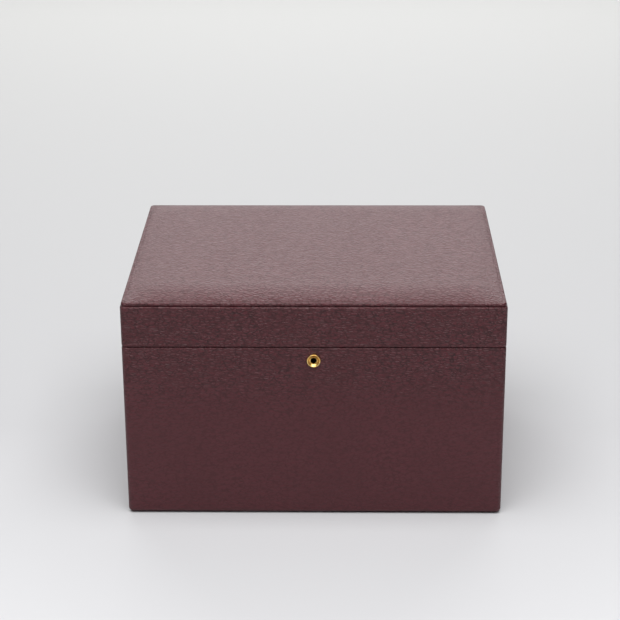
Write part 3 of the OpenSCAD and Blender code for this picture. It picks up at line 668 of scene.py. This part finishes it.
# ---- Padding: well floor, tray pads, mirror frame, ring rolls ---------------------------------
# Foam wrapped in suede. Each pad is blown up as cloth whose glued side is held, so that the tops
# swell and the sides pull in between the corners. The tray's pads start a little small.
def swell(pad, pressure, most):
    """Simulates a pad's cover under air pressure, with its glued side held. What moves furthest
    moves that far, the rest in proportion. Cloth behaves well at clothing size, so the pad is
    enlarged while the simulation runs."""
    scale = 25
    frames = 20
    mesh = pad.data
    before = [v.co.copy() for v in mesh.vertices]
    stuck = [index for index, mark in enumerate(mesh.attributes["glued"].data) if mark.value]
    pad.vertex_groups.new(name="glued").add(stuck, 1, "REPLACE")
    mesh.transform(Matrix.Scale(scale, 4))
    cloth = pad.modifiers.new("cover", "CLOTH")
    rules = cloth.settings
    rules.quality = 6
    rules.mass = 0.3
    rules.tension_stiffness = 40
    rules.compression_stiffness = 40
    rules.shear_stiffness = 20
    rules.bending_stiffness = 4
    rules.use_pressure = True
    rules.uniform_pressure_force = pressure
    rules.vertex_group_mass = "glued"
    rules.effector_weights.gravity = 0
    cloth.point_cache.frame_start = 1
    cloth.point_cache.frame_end = frames
    for number in range(1, frames + 1):
        bpy.context.scene.frame_set(number)
    apply_all(pad)
    pad.data.transform(Matrix.Scale(1 / scale, 4))
    moved = [v.co - start for v, start in zip(pad.data.vertices, before)]
    furthest = max(move.length for move in moved)
    for v, start, move in zip(pad.data.vertices, before, moved):
        v.co = start + move * min(1, most / furthest)
    bpy.context.scene.frame_set(1)
    return pad


def run_along(edge, axis):
    """How far an edge runs along an axis; 0 for an edge that runs in another direction."""
    run = edge.verts[0].co - edge.verts[1].co
    return abs(run[axis]) if abs(abs(run.normalized()[axis]) - 1) < 1e-3 else 0


def cushion(name, node, body, cell, radius, trim, glued_side):
    """Every solid of a node as a rounded, evenly divided suede pad, marked where it is glued."""
    shape = bmesh.new()
    glued = shape.verts.layers.int.new("glued")
    inset = Vector((trim, trim, 0)) * 0.5
    for low, high in solids_of(node):
        round_over(shape, edges_of(box_between(shape, low + inset, high - inset)), radius, 3)
    for axis in range(3):
        longest = [e for e in shape.edges if run_along(e, axis) > cell * 1.5]
        for count in sorted({round(e.calc_length() / cell) for e in longest}):
            same = [e for e in longest if e.is_valid and round(e.calc_length() / cell) == count]
            bmesh.ops.subdivide_edges(shape, edges=same, cuts=count - 1, use_grid_fill=True)
    for v in shape.verts:
        v[glued] = int(any((f.normal - glued_side).length < 0.1 for f in v.link_faces))
    return piece_of(name, shape, taupe_suede, body, "suede", node)


below, above = Vector((0, 0, -1)), Vector((0, 0, 1))
well_floor = cushion("well_floor_cushion", "well_floor_pad", "base", 8 * MM, 0.8 * MM, 0, below)
swell(well_floor, 1, 1.5 * MM)
pads = cushion("tray_pad_cushions", "tray_pads", "tray", 4 * MM, 0.5 * MM, 0.4 * MM, below)
swell(pads, 3, 1.3 * MM)
frame_bars = cushion("mirror_frame_bars", "mirror_frame", "lid", 4 * MM, 1.2 * MM, 0, above)
swell(frame_bars, 3, 1 * MM)

rolls = solids_of("ring_rolls")
roll_foot = rolls[0][0].z + CLOSE
shape = bmesh.new()
glued = shape.verts.layers.int.new("glued")
for low, high in rolls:
    sides = edges_of(box_between(shape, low, high))
    tops = [e for e in sides if run_along(e, 0) and all(v.co.z > high.z - CLOSE for v in e.verts)]
    round_over(shape, tops, (high.y - low.y) / 2 - 0.2 * MM, 6)
ends = [
    e
    for e in shape.edges
    if any(abs(f.normal.x) > 0.9 for f in e.link_faces) and not all(v.co.z < roll_foot for v in e.verts)
]
round_over(shape, ends, 1.2 * MM, 2)
long_edges = [e for e in shape.edges if run_along(e, 0) > 20 * MM]
bmesh.ops.subdivide_edges(shape, edges=long_edges, cuts=24, use_grid_fill=True)
for v in shape.verts:
    v[glued] = int(v.co.z < roll_foot)
ring_rolls = piece_of("ring_roll_cushions", shape, taupe_suede, "tray", "suede", "ring_rolls")
swell(ring_rolls, 3, 0.8 * MM)


# ---- Pull tabs --------------------------------------------------------------------------------
# Two strips of leather, folded double, with a rounded end to lift the tray by. They are sewn
# round their edge with waxed thread, and the tray's wall hides the outer stitches lower down.
tab_round_r = 6 * MM
tab_edge_r = 0.3 * MM
seam_start = 6 * MM
seam_inset = 1.5 * MM
stitch_pitch = 3 * MM
stitch_half = Vector((0.18, 1.05, 0.28)) * MM


def seam_path(low, high):
    """Points (y, z) of a tab's seam: up one side, round the top and down the other."""
    side, bend = high.y - seam_inset, tab_round_r - seam_inset
    half = [(side, low.z + seam_start)]
    for angle in range(0, 91, 15):
        a = math.radians(angle)
        half.append((side - bend * (1 - math.cos(a)), high.z - tab_round_r + bend * math.sin(a)))
    return half + [(-y, z) for y, z in reversed(half)]


def sew(shape, path, x, lowest):
    """Lays evenly spaced stitches along a path, on the face at x, above a height."""
    ahead = stitch_pitch / 2
    for start, end in zip(path, path[1:]):
        run = Vector(end) - Vector(start)
        while ahead < run.length:
            y, z = Vector(start) + run.normalized() * ahead
            ahead += stitch_pitch
            if z > lowest:
                place = Matrix.Translation((x, y, z)) @ Matrix.Rotation(math.atan2(run.y, run.x), 4, "X")
                size = Matrix.Diagonal(list(stitch_half) + [1])
                bmesh.ops.create_uvsphere(
                    shape, u_segments=8, v_segments=6, radius=1, matrix=place @ size
                )
        ahead -= run.length


shape = bmesh.new()
stitches = bmesh.new()
wall_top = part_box("tray_left_wall")[1].z
for low, high in solids_of("tray_pull_tabs"):
    sides = edges_of(box_between(shape, low, high))
    ends = [e for e in sides if run_along(e, 0) and all(v.co.z > high.z - CLOSE for v in e.verts)]
    round_over(shape, ends, tab_round_r, 8)
    for x in (low.x, high.x):
        outer = abs(x) > abs(low.x + high.x) / 2
        sew(stitches, seam_path(low, high), x, wall_top + 1 * MM if outer else low.z)
rims = [
    e
    for e in shape.edges
    if abs((e.verts[0].co - e.verts[1].co).normalized().x) < 0.5
    and any(abs(f.normal.x) > 0.9 for f in e.link_faces)
]
round_over(shape, rims, tab_edge_r, 2)
keep_flats_flat(piece_of("pull_tabs_folded", shape, burgundy_leather, "tray", "leather", "tray_pull_tabs"))

waxed_thread, tree, place = blank_material("waxed_thread")
plies = noise(tree, place, 0.4 * MM, 2.0)["Fac"]
looks = {
    "Base Color": ramp(tree, plies, (0.35, "#6e2f36"), (0.65, "#94505a")),
    "Roughness": 0.5,
    "Normal": relief(tree, plies, 0.4, 0.05 * MM),
    "IOR": 1.45,
}
piece_of("tab_stitches", stitches, coat(waxed_thread, looks), "tray", "leather")


# ---- Brass fittings ---------------------------------------------------------------------------
# Hinges, strike and lock parts are turned, stamped and folded brass, polished and lacquered.
# Polishing leaves fine hairlines; handling dulls them in faint clouds.
def polished_brass(name, colour, dull, roughness):
    """Polished brass: a clear warm mirror, blurred by hairlines and faint clouds."""
    material, tree, place = blank_material(name)
    clouds = noise(tree, place, 4 * MM, 4.0)["Fac"]
    lines = add(tree, "Mapping", {"Vector": place, "Scale": (1, 1, 18)}).outputs[0]
    hairs = noise(tree, lines, 1.5 * MM, 2.0)["Fac"]
    looks = {
        "Base Color": ramp(tree, clouds, (0.3, dull), (0.6, colour)),
        "Metallic": 1.0,
        "Roughness": spread(tree, clouds, 0.0, 1.0, roughness * 1.5, roughness * 0.7),
        "Normal": relief(tree, hairs, 0.15, 0.02 * MM),
    }
    return coat(material, looks)


finish_nodes(
    polished_brass("polished_brass", "#ecc878", "#cf9f52", 0.2),
    "left_hinge_base_leaf",
    "right_hinge_base_leaf",
    "left_hinge_lid_leaf",
    "right_hinge_lid_leaf",
    "hinge_pins",
    "hinge_base_screws",
    "hinge_lid_screws",
    "lock_case",
    "lock_cover",
    "lock_faceplate",
    "lock_screws",
    "lock_bolt",
    "strike_plate",
    "strike_screws",
)


# ---- Nozzle and plug of the lock --------------------------------------------------------------
# Turned brass: a round flange with a rounded rim and a dished face that falls to the keyhole.
# The plug's rounded collar stands up in the dish, round the dark recess for a tubular key.
def turned(shape, profile, y, segments=64):
    """Spins (radius, distance out of the leather) points round the lock's axis."""
    verts = [shape.verts.new((radius, y - out, key_z)) for radius, out in profile]
    edges = [shape.edges.new(pair) for pair in zip(verts, verts[1:])]
    bmesh.ops.spin(
        shape,
        geom=verts + edges,
        cent=(0, 0, key_z),
        axis=(0, 1, 0),
        angle=math.tau,
        steps=segments,
        use_merge=True,
    )


nozzle_r = 4.9 * MM
nozzle_out = 1.4 * MM
rim_round_r = 0.4 * MM
bore_r = 2.65 * MM
dish_foot_r = bore_r + 0.1 * MM
dish_floor = -0.3 * MM
tube_end = nozzle_high.y - shell_low.y
rim_round = [
    (
        nozzle_r - rim_round_r + rim_round_r * math.cos(a),
        nozzle_out - rim_round_r + rim_round_r * math.sin(a),
    )
    for a in [math.radians(angle) for angle in range(0, 136, 15)]
]
mouth_r, mouth_out = rim_round[-1]
dish = [
    (
        dish_foot_r + (mouth_r - dish_foot_r) * u,
        dish_floor + (mouth_out - dish_floor) * (0.45 * u + 0.55 * u * u),
    )
    for u in [i / 10 for i in range(9, -1, -1)]
]
shape = bmesh.new()
turned(
    shape,
    [(bore_r, -tube_end), (tube_r, -tube_end), (tube_r, 0), (nozzle_r, 0)]
    + rim_round
    + dish
    + [(bore_r, dish_floor), (bore_r, -tube_end)],
    shell_low.y,
)
bmesh.ops.remove_doubles(shape, verts=shape.verts, dist=1e-7)
bmesh.ops.recalc_face_normals(shape, faces=shape.faces)
gilt_brass = polished_brass("gilt_brass", "#fbdc92", "#e6b562", 0.28)
piece_of("nozzle_turned", shape, gilt_brass, "base", "brass", "lock_nozzle")


def recess_shaded_brass(name, colour, recess_shade, face_y, depth):
    """Brass that is bright at its face and darker further in: painted shade in the keyway, with a speckled
    edge.
    """
    material, tree, place = blank_material(name)
    inward = add(tree, "SeparateXYZ", {"Vector": place}).outputs["Y"]
    specks = noise(tree, place, 0.8 * MM, 3.0)["Fac"]
    reach = weighted_sum(tree, (specks, depth), (inward, 1.0))
    share = spread(tree, reach, face_y + 0.3 * depth, face_y + 1.3 * depth)
    looks = {
        "Base Color": ramp(tree, share, (0.0, colour), (1.0, recess_shade)),
        "Metallic": 1.0,
        "Roughness": spread(tree, share, 0.0, 1.0, 0.25, 0.6),
    }
    return coat(material, looks)


collar_r = 0.3 * MM
collar_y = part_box("lock_plug")[0].y
shape = bmesh.new()
shape.from_mesh(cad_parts["lock_plug"].data)
bmesh.ops.remove_doubles(shape, verts=shape.verts, dist=1e-6)
bmesh.ops.dissolve_limit(shape, angle_limit=math.radians(1), verts=shape.verts, edges=shape.edges)
collar = [e for e in shape.edges if all(v.co.y < collar_y + 1e-5 for v in e.verts)]
round_over(shape, collar, collar_r, 5)
# The dark colour deeper in the plug is painted shade of the keyway, darker the deeper it goes.
plug_brass = recess_shaded_brass("keyhole_brass", "#fbdc92", "#3d2714", collar_y, 1.2 * MM)
piece_of("plug_collared", shape, plug_brass, "plug", "brass", "lock_plug")


# ---- Mirror -----------------------------------------------------------------------------------
# Silvered float glass behind the padded frame: a clean mirror with a faint green cast, a little
# uneven in its film.
silvered_glass, tree, place = blank_material("silvered_glass")
film = noise(tree, place, 30 * MM, 2.0)["Fac"]
looks = {
    "Base Color": ramp(tree, film, (0.3, "#dfe6e2"), (0.7, "#e8eeea")),
    "Metallic": 1.0,
    "Roughness": spread(tree, film, 0.0, 1.0, 0.015, 0.05),
}
finish_nodes(coat(silvered_glass, looks), "mirror_glass")


# ---- Studio -----------------------------------------------------------------------------------
# A pale paper sweep, level under the case and curving up behind it. A broad softbox overhead
# gives most of the light, one behind the case shines in its top, and a weak one fills the front.
def pale_paper(name, near, under, far):
    """Matt studio paper: palest in front of the case and greyest under and round it, a painted shadow."""
    material, tree, place = blank_material(name)
    along = add(tree, "SeparateXYZ", {"Vector": place}).outputs["Y"]
    share = spread(tree, along, -0.35, 1.6)
    fibre = noise(tree, place, 3 * MM, 3.0)["Fac"]
    looks = {
        "Base Color": ramp(tree, share, (0.0, near), (0.2, under), (1.0, far)),
        "Roughness": 0.9,
        "Normal": relief(tree, fibre, 0.1, 0.05 * MM),
    }
    return coat(material, looks)


sweep_half, sweep_front, sweep_back, sweep_r, sweep_top = 3.0, -3.0, 1.6, 0.9, 3.2
bend = [math.radians(angle) for angle in range(6, 91, 6)]
spine = [(sweep_front, 0), (sweep_back, 0)]
spine += [(sweep_back + sweep_r * math.sin(a), sweep_r * (1 - math.cos(a))) for a in bend]
spine.append((sweep_back + sweep_r, sweep_top))
shape = bmesh.new()
line = [shape.verts.new((-sweep_half, y, z)) for y, z in spine]
edges = [shape.edges.new(pair) for pair in zip(line, line[1:])]
wide = bmesh.ops.extrude_edge_only(shape, edges=edges)["geom"]
far_side = [g for g in wide if isinstance(g, bmesh.types.BMVert)]
bmesh.ops.translate(shape, verts=far_side, vec=(2 * sweep_half, 0, 0))
bmesh.ops.recalc_face_normals(shape, faces=shape.faces)
if sum(f.normal.z for f in shape.faces) < 0:
    bmesh.ops.reverse_faces(shape, faces=shape.faces)
# The second colour, the grey under the case, is painted shadow round the case's foot.
studio_paper = pale_paper("studio_paper", "#d4d4d6", "#bbbbbd", "#c5c5c4")
sweep = smooth_object("sweep", shape, studio_paper)
sweep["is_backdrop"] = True


def softbox(name, place, aim, width, height, power):
    """A rectangular soft light, pointed at a place."""
    light = bpy.data.lights.new(name, "AREA")
    light.shape = "RECTANGLE"
    light.size, light.size_y = width, height
    light.energy = power
    lamp = bpy.data.objects.new(name, light)
    lamp.location = place
    lamp.rotation_euler = (Vector(aim) - Vector(place)).to_track_quat("-Z", "Y").to_euler()
    bpy.context.scene.collection.objects.link(lamp)


softbox("overhead_softbox", (0.0, -0.65, 2.35), (0, 0, 0), 2.6, 2.0, 80)
softbox("back_softbox", (0.0, 2.0, 1.25), (0, 0, 0.12), 2.8, 1.3, 31)
softbox("front_softbox", (0.0, -2.1, 2.1), (0, 0, 0.1), 2.6, 1.4, 10)

# The air of the room: dim for matt faces, brighter in mirrors, pale where the camera sees it.
world = bpy.data.worlds.new("studio_air")
world.use_nodes = True
air = world.node_tree.nodes["Background"]
air.inputs["Color"].default_value = linear("#f2f3f5")
ray = add(world.node_tree, "LightPath").outputs
level = spread(world.node_tree, ray["Is Glossy Ray"], 0.0, 1.0, 0.08, 0.25)
level = add(world.node_tree, "Mix", {0: ray["Is Camera Ray"], 2: level, 3: 0.85}, data_type="FLOAT")
world.node_tree.links.new(level.outputs[0], air.inputs["Strength"])
bpy.context.scene.world = world
bpy.context.scene.view_settings.view_transform = "Standard"


# ---- Size of the dressed case -----------------------------------------------------------------
low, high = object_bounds()
